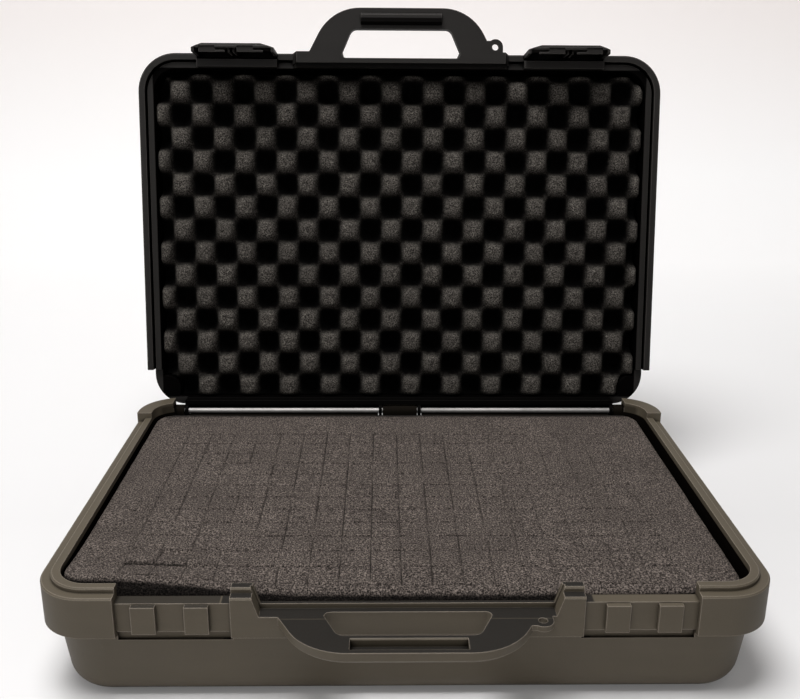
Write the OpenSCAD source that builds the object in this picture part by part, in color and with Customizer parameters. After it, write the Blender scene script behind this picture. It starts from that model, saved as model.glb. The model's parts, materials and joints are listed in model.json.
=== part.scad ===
// Hard carrying case for a laptop: two moulded shells on a steel hinge rod,
// two swing latches, a half handle on each shell, and foam in both halves.
// Millimetres, +Z up, front towards -Y, origin at the middle of the underside.
// The lid stands open, as the case is shown.

/* [Case] */
// Width of the case over its protective band
case_w = 500; // [440:5:560]
// Depth of the case over its protective band, without the handle
case_d = 346; // [300:2:400]
// Height of the base from the underside to the parting plane
base_h = 85; // [75:1:120]
// Height of the lid above the parting plane
lid_h = 50; // [44:1:70]
// Plan radius of the four outer corners
corner_r = 36; // [32:1:44]
// Angle by which the lid stands open
lid_open = 100; // [90:1:110]

/* [Walls] */
// Width of the whole rim, from the band's face to the cavity
rim_w = 13.5; // [12.5:0.5:16]
// How far the protective band stands proud of the tapered body
band_t = 6; // [4:0.5:7]
// Height of the protective band on each shell
band_h = 30; // [28:1:34]
// Slope under the band where it runs into the body
band_slope = 1.6; // [0.5:0.1:3]
// Plan radius of the body's corners under the band
body_r = 40; // [34:1:44]
// Taper of the body wall from the band to the underside
draft = 7; // [4:0.5:8]
// Thickness of the base's floor and the lid's top
floor_t = 5; // [3:0.5:8]
// Radius along the lower edge of the base
edge_r = 18; // [14:1:20]
// Radius along the upper edge of the lid
lid_edge_r = 14; // [10:1:16]
// Small bevel along the parting edges
edge_bevel = 1; // [0.4:0.1:1.4]

/* [Rim] */
// Width of the outer ledge that carries the lid's wall
ledge_w = 7; // [6:0.5:8]
// Height of the raised inner tongue of the base
tongue_h = 3.7; // [2.5:0.1:5]
// Clearance between the two shells where they meet
rim_gap = 0.4; // [0.3:0.05:0.8]
// Thickness of the lid's outer wall at its rim
lid_wall = 5.9; // [4.5:0.1:6.2]
// Width of the groove inside that wall
groove_w = 2; // [1:0.1:3]
// Depth of that groove above the lip
groove_depth = 5; // [2:0.5:8]

/* [Rear corners] */
// Height of the raised corner guards above the parting plane
guard_h = 8.7; // [6:0.1:12]
// Length of a guard along the side of the case
guard_len = 41; // [38:1:50]
// Width of a guard along the back of the case
guard_w = 28.5; // [24:0.5:34]
// Radius of the round boss inside each rear corner of the lid
boss_r = 13.5; // [8:0.5:15]

/* [Hinge] */
// Diameter of the steel hinge rod
rod_d = 5.5; // [5:0.25:6]
// Depth of the rod's axis below the parting plane
axis_drop = 4; // [3.5:0.25:5]
// Distance of the rod's axis in front of the band's rear face
axis_inset = 1.8; // [1:0.2:3]
// Radial running clearance of the rod
rod_gap = 0.05; // [0.02:0.01:0.1]
// Plastic around the rod in the ears and saddles
ear_wall = 3; // [2.5:0.1:3.5]
// Gap between the rod and the rear wall's top below it
rod_lift = 0.6; // [0.5:0.1:1.5]
// Thickness of one ear of the lid
ear_t = 3; // [2:0.25:4]
// Width of the middle saddle of the base
saddle_w = 34; // [20:1:60]
// Width of the saddle at each end of the rod
end_saddle_w = 8.6; // [6:0.2:10]
// Width of the middle seat's mouth as a share of the rod's diameter
saddle_mouth = 0.88; // [0.8:0.02:0.94]
// Sideways clearance between an ear and a saddle
side_gap = 0.8; // [0.4:0.1:1.5]
// Thickness of the lid's apron in front of the rod
apron_t = 4.5; // [3:0.25:5.5]

/* [Handle] */
// Depth of the handle's parting plane below that of the case
dip = 14; // [11:0.5:16]
// Half width of the dipped stretch at its bottom
dip_half = 98.5; // [94:0.5:102]
// How far the ends of the dip lean outward on the way up
dip_lean = 4.4; // [2:0.2:6]
// Reach of the handle in front of the band
handle_reach = 39.5; // [34:0.5:48]
// Half width of the handle where it leaves the band
handle_root = 86; // [84:0.5:90]
// Angle by which the handle's sides close in towards its front
handle_lean = 28; // [20:1:34]
// Radius of the handle's front corners
handle_r = 44; // [24:1:48]
// Thickness of one half of the handle
handle_t = 8.5; // [7:0.25:11]
// Bevel along the handle's outer edge
handle_bevel = 2.5; // [1:0.25:3.5]
// Thickness of the grip bar between the finger opening and the front
grip_w = 19; // [16:0.5:22]
// Half width of the finger opening at the band's face
opening_root = 55; // [50:0.5:60]
// Angle by which the opening's sides close in towards the grip bar
opening_lean = 24; // [16:1:30]
// Corner radius of the finger opening at the grip bar
opening_r = 7; // [4:0.5:8]
// Corner radius of the finger opening at the wall
opening_foot_r = 4; // [2:0.5:6]
// Half length of the slot in the base's grip and of the key in the lid's grip
slot_half = 37.6; // [30:0.2:42]
// Width of that slot
slot_w = 10.6; // [8:0.2:12]
// Depth of that slot
slot_depth = 6; // [5:0.25:6.5]
// Bevel along the slot's and the key's long edges
key_bevel = 1.6; // [0.8:0.1:2]
// How much lower the key is than the slot is deep
key_short = 1.5; // [0.5:0.25:2]
// Clearance of the key in the slot
key_gap = 0.6; // [0.3:0.1:1]
// Radius of the padlock eye's hole
eye_r = 3; // [2:0.25:4]
// Plastic around the padlock eye's hole
eye_wall = 4.2; // [3:0.2:5]
// Thickness of one padlock eye
eye_t = 4; // [3:0.25:6]
// Distance of the eye's hole in front of the band
eye_reach = 4.8; // [4.2:0.2:6]
// Distance of the padlock eye from the middle of the case
eye_x = 88.4; // [86:0.2:90]

/* [Latches] */
// Distance of a latch bay's middle from the side of the case
latch_side = 94.6; // [90:0.2:100]
// Width of a latch bay
bay_w = 76.5; // [70:0.5:84]
// Depth of the bay's plate behind the band's face on the base
bay_depth = 4; // [3:0.25:5]
// Depth of the bay behind the band's face on the lid
lid_bay_depth = 6.2; // [6:0.1:7]
// How far the parting plane dips in a latch bay
bay_dip = 6; // [5:0.25:7]
// Depth of a keeper's lower edge below the parting plane
keeper_low = 27; // [25:0.25:28]
// Width of a keeper
keeper_w = 16; // [12:0.5:18]
// Distance between the middles of the two keepers of a latch
keeper_pitch = 35; // [30:0.5:38]
// How far the pair of keepers sits outside the middle of the bay
keeper_shift = 1.6; // [0:0.1:3]
// Diameter of the latch pin
pin_d = 3; // [2:0.25:3.5]
// Height of the latch pin above the parting plane
pin_z = 8; // [7:0.25:10]
// Depth of the latch pin behind the band's face
pin_depth = 2.6; // [2.4:0.1:3]
// Radial running clearance of a latch on its pin
pin_gap = 0.05; // [0.02:0.01:0.1]
// Plastic around the latch pin
barrel_wall = 1.4; // [1.2:0.1:1.6]
// How far the pin reaches into the band at each end
pin_grip = 5; // [3:0.5:8]
// Sideways clearance of a latch in its bay
latch_gap = 0.4; // [0.2:0.05:0.8]
// How far a closed latch stands proud of the band
latch_proud = 4.5; // [3.5:0.25:6]
// Thickness of the latch's walls
latch_wall = 2.4; // [1.8:0.1:2.8]
// Width of the latch's flat outer face
latch_face = 54; // [48:1:60]
// Thickness of the latch's edge at its tip
tip_t = 4.2; // [3.5:0.1:4.6]
// Height of that thicker edge
tip_h = 4; // [3:0.25:5]
// Thickness of the hook under a keeper
hook_t = 1.6; // [1.2:0.1:2.2]
// Height of the latch's edge below its hooks
hook_rise = 1.2; // [0.8:0.1:2]
// Width of a hook, which is open behind its inboard part
hook_w = 24; // [20:0.5:26]
// Clearance between a hook and its keeper
hook_gap = 0.3; // [0.2:0.05:0.6]
// Angle by which the latches are swung out
latch_swing = 0; // [0:1:60]

/* [Foam] */
// Clearance of the foam from hard parts
foam_gap = 0.4; // [0.3:0.1:1]
// Thickness of the flat pad on the floor
pad_t = 10; // [6:1:20]
// Depth of the foam block's top below the parting plane
block_drop = 2.5; // [2:0.25:8]
// Space at each side of the foam block
block_side_gap = 6.5; // [4:0.5:10]
// Space at the front and back of the foam block
block_end_gap = 1.5; // [1:0.25:6]
// Size of one pluck-out cube
cube_size = 21.4; // [15:0.1:25]
// Distance of the first cut across the block behind the band's front face
first_cut = 23.3; // [18:0.1:30]
// How far the grid of cuts sits left of the middle
cut_shift = 4.3; // [0:0.1:10]
// Width of the cut around a loosened cube
cut_w = 0.6; // [0.3:0.1:1]
// How far a loosened cube stands above its neighbours
cube_lift = 1.6; // [0.5:0.1:2]
// Width of one hollow or hump of the lid's foam across the case
cell_w = 19.8; // [16:0.1:26]
// Depth of one hollow or hump of the lid's foam along the case
cell_d = 22.1; // [16:0.1:26]
// Height of the humps over the hollows
hump_h = 20; // [10:1:24]
// Full thickness of the lid's foam
lid_foam_t = 39; // [32:1:42]

/* [Hidden] */
$fn = 96;

base_plastic = [0.27, 0.25, 0.22];
lid_plastic = [0.12, 0.12, 0.12];
steel = [0.72, 0.72, 0.74];
foam_grey = [0.20, 0.20, 0.21];

front = -case_d / 2;
back = case_d / 2;
part_z = base_h;
axis_y = back - axis_inset;
axis_z = part_z - axis_drop;
bore_r = rod_d / 2 + rod_gap;
ear_r = rod_d / 2 + ear_wall;
rod_clear = 0.5;
notch_z = axis_z - rod_d / 2 - rod_lift;
guard_x = case_w / 2 - guard_w;
guard_y = back - guard_len;
end_ear_x = guard_x - end_saddle_w - side_gap - ear_t / 2;
mid_ear_x = saddle_w / 2 + side_gap + ear_t / 2;
dip_z = part_z - dip;
inner_tongue = 3;
boss_side = 3.5;
boss_back = 7.5;
pin_press = 0.02;
pin_end_gap = 0.3;
dip_over = 12;
thin = 0.01;
hook_notch = 3;
rib_x = 2.2;
rib_t = 1.6;
lid_draft = 1.5;
apron_y = axis_y - ear_r - rod_clear - apron_t;
eye_y = front - eye_reach;
key_h = slot_depth - key_short;
slot_back = 0.4;
grip_y = front - handle_reach + grip_w / 2 + slot_back;
opening_back = front + band_t - 0.2;
latch_x = case_w / 2 - latch_side;
bay_z = part_z - bay_dip;
plate_low = part_z - keeper_low - 0.4;
keeper_high = bay_z - 0.8;
pull_h = 8;
pull_depth = 3;
barrel_r = pin_d / 2 + pin_gap + barrel_wall;
pin_y = front + pin_depth;
latch_pin_z = part_z + pin_z;
bay_top = latch_pin_z + 7;
hook_low = part_z - keeper_low - hook_gap - hook_t;
latch_low = hook_low - hook_rise;
latch_in = front + bay_depth - 0.5;
latch_out = front - latch_proud;
body_wall = rim_w - band_t;
body_top = base_h - band_h;
over = 1;

// Corner pieces and straight stretches of one wall section around a rounded plan.
// The section's x is the distance outward from the corners' own axes, which stand
// the distance deep inside the band's faces.
module around(deep = corner_r) {
    half_w = case_w / 2 - deep;
    half_d = case_d / 2 - deep;
    for (i = [0:3])
        translate([(i == 0 || i == 3 ? 1 : -1) * half_w, (i < 2 ? 1 : -1) * half_d, 0])
            rotate(90 * i) rotate_extrude(angle = 90) children();
    for (turn = [0, 180]) rotate(turn) {
        translate([half_w, 0, 0])
            rotate([90, 0, 0]) linear_extrude(2 * half_d, center = true) children();
        translate([0, half_d, 0])
            rotate([90, 0, 90]) linear_extrude(2 * half_w, center = true) children();
    }
}

// One wall section with a round lower corner, standing on z = 0.
// plan_r is the corner's plan radius where the wall reaches the band, at the height high.
module body_section(plan_r, high, inset, r) {
    lean = atan(inset / high);
    foot = plan_r - inset;
    run = r / tan((90 + lean) / 2);
    difference() {
        polygon([[0, 0], [foot, 0], [plan_r, high], [0, high]]);
        difference() {
            polygon([
                [foot - run, 0], [foot + over, -over], [foot + run * sin(lean) + over, run * cos(lean)],
                [foot + run * sin(lean), run * cos(lean)], [foot - run, r]
            ]);
            translate([foot - run, r]) circle(r);
        }
    }
}

// Inside of the base's body, drawn in by gap, up to the height high
module body_inside(gap, high) {
    foot = body_r - draft;
    knee = foot + draft * edge_r / body_top - body_wall + over - gap;
    top = body_r - body_wall - gap;
    polygon([
        [0, floor_t + gap], [foot - edge_r * 0.6 - gap, floor_t + gap], [knee, edge_r],
        [top, body_top], [top, high], [0, high]
    ]);
}

// The band and rim of the base
module base_section() {
    r = corner_r;
    low = body_top - band_slope;
    polygon([
        [r - rim_w, low], [r - band_t, low], [r, body_top],
        [r, base_h - edge_bevel], [r - edge_bevel, base_h], [r - ledge_w, base_h],
        [r - ledge_w, base_h + tongue_h - edge_bevel],
        [r - ledge_w - edge_bevel, base_h + tongue_h], [r - rim_w, base_h + tongue_h]
    ]);
}

module lid_section() {
    r = corner_r;
    low = part_z + rim_gap;
    lip = part_z + tongue_h + rim_gap;
    high = part_z + band_h;
    difference() {
        union() {
            translate([0, part_z + lid_h]) mirror([0, 1])
                body_section(r - band_t, lid_h - band_h - band_slope, lid_draft, lid_edge_r);
            polygon([
                [0, lip], [r - lid_wall - groove_w, lip],
                [r - lid_wall - groove_w, lip + groove_depth], [r - lid_wall, lip + groove_depth],
                [r - lid_wall, low], [r - edge_bevel, low], [r, low + edge_bevel],
                [r, high], [r - band_t, high + band_slope], [0, high + band_slope]
            ]);
        }
        translate([-over, 0]) square([r - rim_w + over, part_z + lid_h - floor_t]);
    }
}

// A block across the front or back of the case, in plain coordinates
module block(x, y, z) {
    translate([x[0], y[0], z[0]]) cube([x[1] - x[0], y[1] - y[0], z[1] - z[0]]);
}

module both_sides() {
    children();
    mirror([1, 0, 0]) children();
}

// Middle of the round corner where a wedge's leaning side meets its straight front end.
// root is the wedge's half width at the band's face.
function wedge_mid(root, lean, reach, r) =
    [root - (r + (reach - r) * sin(lean)) / cos(lean), front - reach + r];

// Plan of the handle, drawn in by inset at its sides and front
module handle_plan(inset = 0) {
    root = handle_root - inset / cos(handle_lean);
    reach = handle_reach - inset;
    r = handle_r - inset;
    deep = rim_w / 2;
    mid = wedge_mid(root, handle_lean, reach, r);
    inner_x = root + deep * tan(handle_lean);
    side_x = mid[0] + r * cos(handle_lean);
    side_y = mid[1] - r * sin(handle_lean);
    polygon([
        [-inner_x, front + deep], [inner_x, front + deep], [side_x, side_y],
        [mid[0], front - reach], [-mid[0], front - reach], [-side_x, side_y]
    ]);
    for (side = [-1, 1]) translate([side * mid[0], mid[1]]) circle(r);
}

// Finger opening, with rounded corners at the wall and at the grip bar
module opening_plan() {
    reach = handle_reach - grip_w;
    foot_x = opening_root + (opening_back - front) * tan(opening_lean);
    foot_run = opening_foot_r / tan(45 - opening_lean / 2);
    mid = wedge_mid(opening_root, opening_lean, reach, opening_r);
    for (side = [-1, 1]) {
        polygon([
            [0, opening_back], [side * (foot_x - foot_run), opening_back],
            [side * (foot_x - foot_run * sin(opening_lean)), opening_back - foot_run * cos(opening_lean)],
            [side * (mid[0] + opening_r * cos(opening_lean)), mid[1] - opening_r * sin(opening_lean)],
            [side * mid[0], front - reach], [0, front - reach]
        ]);
        translate([side * mid[0], mid[1]]) circle(opening_r);
        translate([side * (foot_x - foot_run), opening_back - opening_foot_r]) circle(opening_foot_r);
    }
}

// A section drawn upright across the grip and run along it
module along_grip(low) {
    translate([0, grip_y, low]) rotate([90, 0, 90])
        linear_extrude(2 * slot_half, center = true) children();
}

// Section of the slot, widened by a bevel at its mouth on y = 0
module slot_section() {
    half = slot_w / 2;
    lip = half + key_bevel / 2;
    polygon([
        [-lip, over], [lip, over], [lip, 0], [half, -key_bevel / 2], [half, -slot_depth],
        [-half, -slot_depth], [-half, -key_bevel / 2], [-lip, 0]
    ]);
}

// Section of the key that enters the slot, with bevels along its far end
module key_section() {
    half = slot_w / 2 - key_gap;
    polygon([
        [-half, over], [half, over], [half, key_bevel - key_h], [half - key_bevel, -key_h],
        [key_bevel - half, -key_h], [-half, key_bevel - key_h]
    ]);
}

// Outline of the dipped stretch of the front wall, seen from the front
module dip_outline(gap) {
    rise = dip + dip_over;
    polygon([
        [-dip_half + gap, dip_z], [dip_half - gap, dip_z],
        [dip_half + dip_lean * rise / dip - gap, dip_z + rise],
        [-dip_half - dip_lean * rise / dip + gap, dip_z + rise]
    ]);
}

// That stretch as a solid between two depths y, raised by a little
module dip_stretch(y, gap, raised) {
    translate([0, y[1], raised]) rotate([90, 0, 0]) linear_extrude(y[1] - y[0]) dip_outline(gap);
}

module padlock_eye(low) {
    r = eye_r + eye_wall;
    difference() {
        union() {
            translate([eye_x, eye_y, low]) cylinder(r = r, h = eye_t);
            block([eye_x - 2 * eye_wall - eye_r, eye_x], [eye_y - eye_wall - eye_r / 2, front + edge_bevel],
                [low, low + eye_t]);
            block([eye_x, eye_x + r], [eye_y, front + edge_bevel], [low, low + eye_t]);
        }
        translate([eye_x, eye_y, low - over]) cylinder(r = eye_r, h = eye_t + 2 * over);
    }
}

// One half of the handle, lying on the plane z = 0 and reaching upward
module half_handle() {
    linear_extrude(handle_t - handle_bevel) handle_plan();
    hull() {
        translate([0, 0, handle_t - handle_bevel - thin]) linear_extrude(thin) handle_plan($fn = 48);
        translate([0, 0, handle_t - thin]) linear_extrude(thin) handle_plan(handle_bevel, $fn = 48);
    }
}

module across(r, wide) {
    translate([0, axis_y, axis_z]) rotate([0, 90, 0]) cylinder(r = r, h = wide, center = true);
}

// Plastic around the rod with a foot in the rear wall, before its bore
module knuckle(wide) {
    across(ear_r, wide);
    block([-wide / 2, wide / 2], [axis_y - ear_r, axis_y], [notch_z - over, axis_z]);
}

// Middle seat, open above so that the rod snaps in
module saddle() {
    half = rod_d * saddle_mouth / 2;
    difference() {
        knuckle(saddle_w);
        block([-saddle_w, saddle_w], [axis_y - half, axis_y + half], [axis_z, axis_z + ear_r + over]);
    }
}

// Ear of the lid, which turns in a pocket of the rear wall
module ear() {
    across(ear_r, ear_t);
    block([-ear_t / 2, ear_t / 2], [apron_y, axis_y], [notch_z + rim_gap, part_z + rim_gap + over]);
}

module keepers() {
    for (i = [-1, 1])
        translate([latch_x + keeper_shift + i * keeper_pitch / 2, 0, 0])
            block([-keeper_w / 2, keeper_w / 2], [front, front + bay_depth + over],
                [part_z - keeper_low, keeper_high]);
}

module base_shell() {
    color(base_plastic) difference() {
        union() {
            difference() {
                union() {
                    around(band_t + body_r) difference() {
                        body_section(body_r, body_top, draft, edge_r);
                        body_inside(0, base_h);
                    }
                    block([-case_w / 2 + band_t + body_r, case_w / 2 - band_t - body_r],
                        [front + band_t + body_r, back - band_t - body_r], [0, floor_t]);
                    around() base_section();
                }
                // dipped stretch behind the handle, with a thinner tongue
                dip_stretch([front - over, front + rim_w - inner_tongue], 0, 0);
                dip_stretch([front, front + rim_w + over], 0, tongue_h);
                both_sides() {
                    bay = [latch_x - bay_w / 2, latch_x + bay_w / 2];
                    block(bay, [front - over, front + rim_w + over], [bay_z, part_z + 2 * tongue_h]);
                    block(bay, [front - over, front + bay_depth], [plate_low - over, part_z]);
                    block(bay, [front - over, front + band_t + pull_depth], [plate_low - pull_h, plate_low]);
                    // the corner guards replace the tongue and ledge
                    block([guard_x, case_w], [guard_y, back + over], [part_z, part_z + 2 * tongue_h]);
                    // pockets in which the lid's ears turn
                    for (x = [mid_ear_x, end_ear_x]) translate([x, 0, 0])
                        across(ear_r + rod_clear, ear_t + 2 * side_gap);
                }
                block([-guard_x, guard_x], [back - rim_w - over, back + over],
                    [notch_z, part_z + 2 * tongue_h]);
            }
            both_sides() {
                keepers();
                intersection() {
                    around() translate([corner_r - rim_w, part_z - over])
                        square([rim_w, guard_h + over]);
                    block([guard_x, case_w], [guard_y, back + over], [0, 2 * base_h]);
                }
                translate([guard_x - end_saddle_w / 2 + over / 2, 0, 0]) knuckle(end_saddle_w + over);
            }
            saddle();
            intersection() {
                translate([0, 0, dip_z]) mirror([0, 0, 1]) half_handle();
                block([-case_w, case_w], [front - case_d, front + rim_w / 2], [0, dip_z]);
            }
            padlock_eye(dip_z - eye_t);
        }
        across(bore_r, 2 * guard_x);
        translate([0, 0, body_top - band_slope]) linear_extrude(band_h) opening_plan();
        along_grip(dip_z) slot_section();
    }
}

// Everything on the lid is drawn closed and swung open about the rod
module opened() {
    translate([0, axis_y, axis_z]) rotate([-lid_open, 0, 0]) translate([0, -axis_y, -axis_z])
        children();
}

module boss_place() {
    both_sides() translate([case_w / 2 - boss_r - boss_side, back - boss_r - boss_back, 0]) children();
}

module lid_closed() {
    dip_low = dip_z + rim_gap / 2;
    corner_low = part_z + guard_h + rim_gap;
    difference() {
        union() {
            difference() {
                union() {
                    around() lid_section();
                    block([-case_w / 2 + corner_r, case_w / 2 - corner_r],
                        [front + corner_r, back - corner_r], [part_z + lid_h - floor_t, part_z + lid_h]);
                }
                both_sides() {
                    bay = [latch_x - bay_w / 2, latch_x + bay_w / 2];
                    block(bay, [front - over, front + lid_bay_depth], [part_z - over, bay_top]);
                    // the rear corners stop above the base's guards
                    block([end_ear_x + ear_t / 2, case_w], [guard_y - rim_gap, back + over],
                        [part_z, corner_low]);
                    // the band ends at the guards and leaves the rear corners bare
                    intersection() {
                        around() translate([corner_r - band_t, part_z - over])
                            square([band_t + over, band_h + band_slope + over]);
                        block([end_ear_x + ear_t / 2, case_w], [guard_y - rim_gap, back + over],
                            [part_z - over, 2 * base_h]);
                    }
                }
            }
            intersection() {
                around() translate([0, corner_low]) square([corner_r - band_t, lid_h - guard_h - floor_t]);
                boss_place() cylinder(r = boss_r, h = 2 * base_h);
            }
            both_sides() {
                // the wall behind the latch reaches down to the base's plate
                block([latch_x - bay_w / 2 + rim_gap, latch_x + bay_w / 2 - rim_gap],
                    [front + lid_bay_depth, front + rim_w - foam_gap], [bay_z + rim_gap, part_z + tongue_h + over]);
                translate([mid_ear_x, 0, 0]) ear();
                translate([end_ear_x, 0, 0]) ear();
            }
            // the front wall follows the dip, outside and above the base's thinner tongue
            intersection() {
                union() {
                    dip_stretch([front, front + rim_w - inner_tongue - rim_gap], rim_gap, rim_gap / 2);
                    dip_stretch([front, front + rim_w], rim_gap, tongue_h + rim_gap);
                }
                block([-case_w, case_w], [front, 0], [0, part_z + tongue_h + over]);
            }
            // apron in front of the rod
            block([-end_ear_x, end_ear_x], [apron_y, apron_y + apron_t],
                [notch_z + rim_gap, part_z + tongue_h + over]);
            intersection() {
                translate([0, 0, dip_low]) half_handle();
                block([-case_w, case_w], [front - case_d, front + rim_w / 2], [dip_low, 2 * base_h]);
            }
            padlock_eye(dip_low);
            // key that enters the slot of the base's grip
            along_grip(dip_low) key_section();
        }
        translate([0, 0, dip_z - over]) linear_extrude(band_h + band_slope + dip + over) opening_plan();
        across(bore_r, 2 * guard_x);
        across(ear_r + rod_clear, saddle_w + side_gap);
        both_sides() translate([latch_x, pin_y, latch_pin_z]) rotate([0, 90, 0])
            cylinder(d = pin_d + pin_press, h = bay_w + 2 * pin_grip, center = true);
    }
}

module lid_shell() {
    color(lid_plastic) opened() lid_closed();
}

module hinge_rod() {
    color(steel) translate([0, axis_y, axis_z]) rotate([0, 90, 0])
        cylinder(d = rod_d, h = 2 * (guard_x - 3), center = true);
}

// Side profile of a latch: a flat face, bevelled towards the pin and towards the tip
module latch_profile() {
    polygon([
        [latch_in, latch_low], [latch_out + latch_wall, latch_low], [latch_out, latch_low + latch_wall],
        [latch_out, part_z + latch_wall], [front - latch_proud / 3, latch_pin_z + barrel_wall],
        [pin_y, latch_pin_z + barrel_r - pin_press], [pin_y + barrel_r - pin_press, latch_pin_z],
        [latch_in, latch_pin_z - barrel_r]
    ]);
}

// Section across a latch, with its sloping ends, drawn in by inset
module latch_plan(inset) {
    half = bay_w / 2 - latch_gap - inset;
    face = latch_face / 2 - inset / 2;
    deep = front + bay_depth + latch_wall;
    polygon([
        [keeper_shift - face, latch_out + inset], [keeper_shift + face, latch_out + inset],
        [half, front - latch_gap], [half, deep], [-half, deep], [-half, front - latch_gap]
    ]);
}

// The room behind a latch's face, beyond the depth wall and between two heights
module latch_room(wall, high) {
    intersection() {
        translate([0, 0, high[0]]) linear_extrude(high[1] - high[0]) latch_plan(latch_wall);
        block([-bay_w, bay_w], [latch_out + wall, back], high);
    }
}

// A hook, with its middle at x = 0. Its inboard part is open behind its edge.
module hook() {
    difference() {
        block([-hook_w / 2, hook_w / 2], [latch_out + latch_wall, latch_in], [hook_low, hook_low + hook_t]);
        block([-hook_w, -hook_notch], [latch_out, latch_in - hook_t], [latch_low, part_z]);
    }
}

// A closed latch, with its middle at x = 0 and its keepers shifted towards +x
module latch_closed() {
    wide = bay_w - 2 * latch_gap;
    room_top = latch_pin_z - barrel_r - barrel_wall;
    difference() {
        union() {
            difference() {
                intersection() {
                    rotate([90, 0, 90]) linear_extrude(wide, center = true) latch_profile();
                    translate([0, 0, latch_low]) linear_extrude(latch_pin_z + barrel_r - latch_low) latch_plan(0);
                }
                latch_room(latch_wall, [latch_low + tip_h, room_top]);
                latch_room(tip_t, [latch_low - over, room_top]);
                // the tip's edge is thinner below the hooks' outboard parts
                for (i = [-1, 1]) translate([keeper_shift + i * keeper_pitch / 2, 0, 0])
                    block([-hook_notch, hook_w / 2], [latch_out + latch_wall, back],
                        [latch_low - over, hook_low]);
            }
            for (i = [-1, 1]) translate([keeper_shift + i * keeper_pitch / 2, 0, 0]) hook();
            // ribs that stiffen the face beside the keepers
            for (x = [keeper_shift - rib_x, keeper_shift + rib_x])
                block([x - rib_t / 2, x + rib_t / 2], [latch_out + over, latch_in - hook_gap],
                    [latch_low + tip_h, room_top + over]);
            translate([0, pin_y, latch_pin_z]) rotate([0, 90, 0])
                cylinder(r = barrel_r, h = wide, center = true);
        }
        translate([0, pin_y, latch_pin_z]) rotate([0, 90, 0])
            cylinder(d = pin_d + 2 * pin_gap, h = bay_w, center = true);
    }
}

module swung() {
    translate([0, pin_y, latch_pin_z]) rotate([-latch_swing, 0, 0]) translate([0, -pin_y, -latch_pin_z])
        children();
}

module latch_right() {
    color(lid_plastic) opened() translate([latch_x, 0, 0]) swung() latch_closed();
}

module latch_left() {
    color(lid_plastic) opened() translate([-latch_x, 0, 0]) swung() mirror([1, 0, 0]) latch_closed();
}

module latch_pin(side) {
    color(steel) opened() translate([side * latch_x, pin_y, latch_pin_z]) rotate([0, 90, 0])
        cylinder(d = pin_d, h = bay_w + 2 * (pin_grip - pin_end_gap), center = true);
}

module latch_pin_left() { latch_pin(-1); }

module latch_pin_right() { latch_pin(1); }

// Rounded plan inside the cavity, drawn in from its walls
module cavity_plan(side, end) {
    r = corner_r - rim_w;
    half_w = case_w / 2 - rim_w - side;
    half_d = case_d / 2 - rim_w - end;
    square([2 * half_w - 2 * r, 2 * half_d], center = true);
    square([2 * half_w, 2 * half_d - 2 * r], center = true);
    for (x = [-1, 1], y = [-1, 1])
        translate([x * (half_w - r), y * (half_d - r)]) circle(r);
}

// The room inside the base, drawn in by the foam's clearance
module base_room() {
    gap = foam_gap;
    around(band_t + body_r) body_inside(gap, base_h);
    block([-case_w / 2 + band_t + body_r, case_w / 2 - band_t - body_r],
        [front + band_t + body_r, back - band_t - body_r], [floor_t + gap, base_h]);
}

module foam_base_pad() {
    color(foam_grey) intersection() {
        base_room();
        linear_extrude(floor_t + foam_gap + pad_t) cavity_plan(foam_gap * 2, foam_gap * 2);
    }
}

module foam_pluck_block() {
    low = floor_t + foam_gap + pad_t + foam_gap / 2;
    top = part_z - block_drop;
    loose = [[-9, 4], [-8, 2], [-9, 1], [-7, 1]];
    side = cube_size - cut_w;
    color(foam_grey) {
        intersection() {
            base_room();
            translate([0, 0, low]) linear_extrude(top - low) cavity_plan(block_side_gap, block_end_gap);
        }
        for (c = loose)
            translate([c[0] * cube_size - cut_shift, front + first_cut + c[1] * cube_size, top - over])
                cube([side, side, cube_lift + over]);
    }
}

// Foam of alternating humps and hollows, one cell each, facing down from a flat back.
// The two rear corner cells are left out, and the front corners are drawn in.
module hump_field(w, d, back_z, mid_z) {
    nx = floor(w / cell_w);
    ny = floor(d / cell_d);
    half = hump_h / 2;
    corner = function(i, j) j * (nx + 1) + i;
    middle = function(i, j) (nx + 1) * (ny + 1) + j * nx + i;
    rear = (nx + 1) * (ny + 1) + nx * ny;
    kept = function(i, j) j < ny - 1 || (i > 0 && i < nx - 1);
    edge = concat(
        [for (i = [0:nx - 1]) [i, 0]], [for (j = [0:ny - 1]) [nx, j]], [[nx - 1, ny - 1]],
        [for (i = [nx - 1:-1:1]) [i, ny]], [[1, ny - 1]], [for (j = [ny - 1:-1:1]) [0, j]]
    );
    count = len(edge);
    drawn = function(i, j) j == 0 && (i == 0 || i == nx) ? (corner_r - rim_w) * (1 - cos(45)) : 0;
    at = function(i, j, z) [
        (i / nx - 0.5) * (w - 2 * drawn(i, j)), (j / ny - 0.5) * d + drawn(i, j), z
    ];
    polyhedron(
        points = concat(
            [for (j = [0:ny], i = [0:nx]) at(i, j, mid_z)],
            [for (j = [0:ny - 1], i = [0:nx - 1])
                at(i + 0.5, j + 0.5, mid_z + ((i + j) % 2 == 0 ? -half : half))],
            [for (c = edge) at(c[0], c[1], back_z)],
            [[0, 0, back_z]]
        ),
        faces = concat(
            [for (j = [0:ny - 1], i = [0:nx - 1], s = [0:3]) if (kept(i, j))
                let (a = [[i, j], [i + 1, j], [i + 1, j + 1], [i, j + 1]], p = a[s], q = a[(s + 1) % 4])
                [corner(p[0], p[1]), corner(q[0], q[1]), middle(i, j)]],
            [for (k = [0:count - 1])
                let (p = edge[k], q = edge[(k + 1) % count])
                [corner(q[0], q[1]), corner(p[0], p[1]), rear + k]],
            [for (k = [0:count - 1])
                let (q = edge[(k + 1) % count])
                [corner(q[0], q[1]), rear + k, rear + (k + 1) % count]],
            [for (k = [0:count - 1]) [rear + (k + 1) % count, rear + k, rear + count]]
        )
    );
}

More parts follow.
